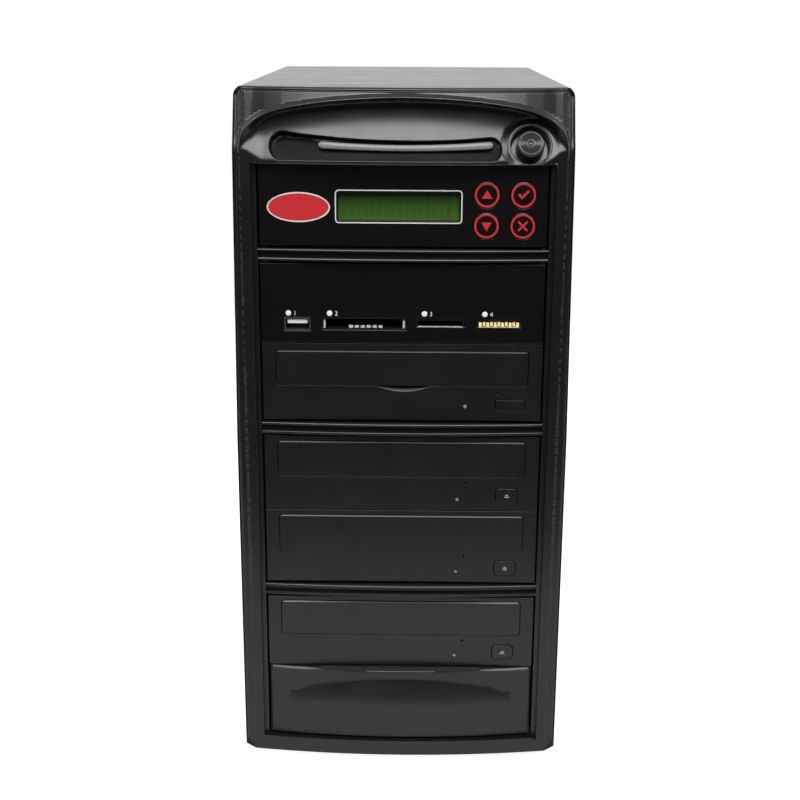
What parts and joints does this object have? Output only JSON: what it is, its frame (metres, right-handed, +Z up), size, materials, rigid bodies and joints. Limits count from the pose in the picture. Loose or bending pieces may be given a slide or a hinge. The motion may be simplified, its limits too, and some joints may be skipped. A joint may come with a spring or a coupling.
{
  "type": "disc duplicator tower",
  "caption": "Free-standing tower with a stack of optical drives, a control panel with display and keys, a card reader and a power button.",
  "frame": {"origin": "on the floor, under the middle of the tower", "axes": "+Z up, the front with the drives faces -Y, +X to the right seen from the front"},
  "size_m": [0.177, 0.291, 0.375],
  "materials": {
    "bezel_plastic": "fine-textured moulded ABS",
    "black_plastic": "moulded",
    "button_plastic": "turned and polished",
    "chassis_steel": "galvanised",
    "circuit_board": "solder mask",
    "cover_paint": "fine-textured powder coat",
    "display_frame": "satin",
    "display_glass": "polished",
    "drive_plastic": "fine-textured moulded ABS",
    "drive_steel": "zinc plated",
    "foot_rubber": "moulded",
    "grey_trim": "satin moulded ABS",
    "key_plastic": "smooth",
    "light_pipe": "polished",
    "panel_plastic": "smooth",
    "screw_steel": "zinc plated",
    "socket_metal": "bright plated",
    "socket_plastic": "moulded",
    "tray_plastic": "smooth moulded"
  },
  "bodies": {
    "root": {"base_pan": "chassis_steel", "cage_brace": "chassis_steel", "cage_left": "chassis_steel", "cage_right": "chassis_steel", "cf_socket": "socket_plastic", "control_board": "circuit_board", "control_panel": "panel_plastic", "cover_screws": "screw_steel", "drive1_bezel": "drive_plastic", "drive1_case": "drive_steel", "drive2_bezel": "drive_plastic", "drive2_case": "drive_steel", "drive3_bezel": "drive_plastic", "drive3_case": "drive_steel", "drive4_bezel": "drive_plastic", "drive4_case": "drive_steel", "drive_screws": "screw_steel", "fan_screws": "screw_steel", "filler_panel": "bezel_plastic", "front_bezel": "bezel_plastic", "front_frame": "chassis_steel", "lcd_glass": "display_glass", "lcd_module": "display_frame", "ms_socket": "socket_plastic", "outer_cover": "cover_paint", "power_switch": "black_plastic", "psu_case": "chassis_steel", "psu_inlet": "black_plastic", "reader_board": "circuit_board", "reader_leds": "light_pipe", "reader_panel": "panel_plastic", "rear_fan_frame": "black_plastic", "rear_panel": "chassis_steel", "rubber_feet": "foot_rubber", "sd_socket": "socket_plastic", "slot_trim": "grey_trim", "usb_socket": "socket_metal"},
    "drive1_eject": {"drive1_eject": "drive_plastic"},
    "drive1_tray": {"drive1_tray": "tray_plastic", "drive1_door": "drive_plastic"},
    "drive2_eject": {"drive2_eject": "drive_plastic"},
    "drive2_tray": {"drive2_tray": "tray_plastic", "drive2_door": "drive_plastic"},
    "drive3_eject": {"drive3_eject": "drive_plastic"},
    "drive3_tray": {"drive3_tray": "tray_plastic", "drive3_door": "drive_plastic"},
    "drive4_eject": {"drive4_eject": "drive_plastic"},
    "drive4_tray": {"drive4_tray": "tray_plastic", "drive4_door": "drive_plastic"},
    "key_cancel": {"key_cancel": "key_plastic"},
    "key_down": {"key_down": "key_plastic"},
    "key_enter": {"key_enter": "key_plastic"},
    "key_up": {"key_up": "key_plastic"},
    "power_button": {"power_button": "button_plastic"},
    "psu_rocker": {"psu_rocker": "black_plastic"},
    "rear_fan_rotor": {"rear_fan_rotor": "black_plastic"}
  },
  "joints": [
    {"name": "power_button_press", "type": "slide", "parent": "root", "child": "power_button", "axis": [0, 0.891, -0.454], "range_m": [0, 0.002], "stiffness_N_per_m": 600},
    {"name": "key_up_press", "type": "slide", "parent": "root", "child": "key_up", "axis": [0, 1, 0], "range_m": [0, 0.0005], "stiffness_N_per_m": 2000},
    {"name": "key_down_press", "type": "slide", "parent": "root", "child": "key_down", "axis": [0, 1, 0], "range_m": [0, 0.0005], "stiffness_N_per_m": 2000},
    {"name": "key_enter_press", "type": "slide", "parent": "root", "child": "key_enter", "axis": [0, 1, 0], "range_m": [0, 0.0005], "stiffness_N_per_m": 2000},
    {"name": "key_cancel_press", "type": "slide", "parent": "root", "child": "key_cancel", "axis": [0, 1, 0], "range_m": [0, 0.0005], "stiffness_N_per_m": 2000},
    {"name": "drive1_tray_slide", "type": "slide", "parent": "root", "child": "drive1_tray", "axis": [0, -1, 0], "range_m": [0, 0.135]},
    {"name": "drive1_eject_press", "type": "slide", "parent": "root", "child": "drive1_eject", "axis": [0, 1, 0], "range_m": [0, 0.0008], "stiffness_N_per_m": 1500},
    {"name": "drive2_tray_slide", "type": "slide", "parent": "root", "child": "drive2_tray", "axis": [0, -1, 0], "range_m": [0, 0.135]},
    {"name": "drive2_eject_press", "type": "slide", "parent": "root", "child": "drive2_eject", "axis": [0, 1, 0], "range_m": [0, 0.0008], "stiffness_N_per_m": 1500},
    {"name": "drive3_tray_slide", "type": "slide", "parent": "root", "child": "drive3_tray", "axis": [0, -1, 0], "range_m": [0, 0.135]},
    {"name": "drive3_eject_press", "type": "slide", "parent": "root", "child": "drive3_eject", "axis": [0, 1, 0], "range_m": [0, 0.0008], "stiffness_N_per_m": 1500},
    {"name": "drive4_tray_slide", "type": "slide", "parent": "root", "child": "drive4_tray", "axis": [0, -1, 0], "range_m": [0, 0.135]},
    {"name": "drive4_eject_press", "type": "slide", "parent": "root", "child": "drive4_eject", "axis": [0, 1, 0], "range_m": [0, 0.0008], "stiffness_N_per_m": 1500},
    {"name": "psu_rocker_tilt", "type": "hinge", "parent": "root", "child": "psu_rocker", "pos_m": [0.047, 0.1387, 0.33225], "axis": [1, 0, 0], "range_deg": [0, 24]},
    {"name": "rear_fan_spin", "type": "hinge", "parent": "root", "child": "rear_fan_rotor", "pos_m": [0, 0.1297, 0.2], "axis": [0, 1, 0], "continuous": true}
  ]
}
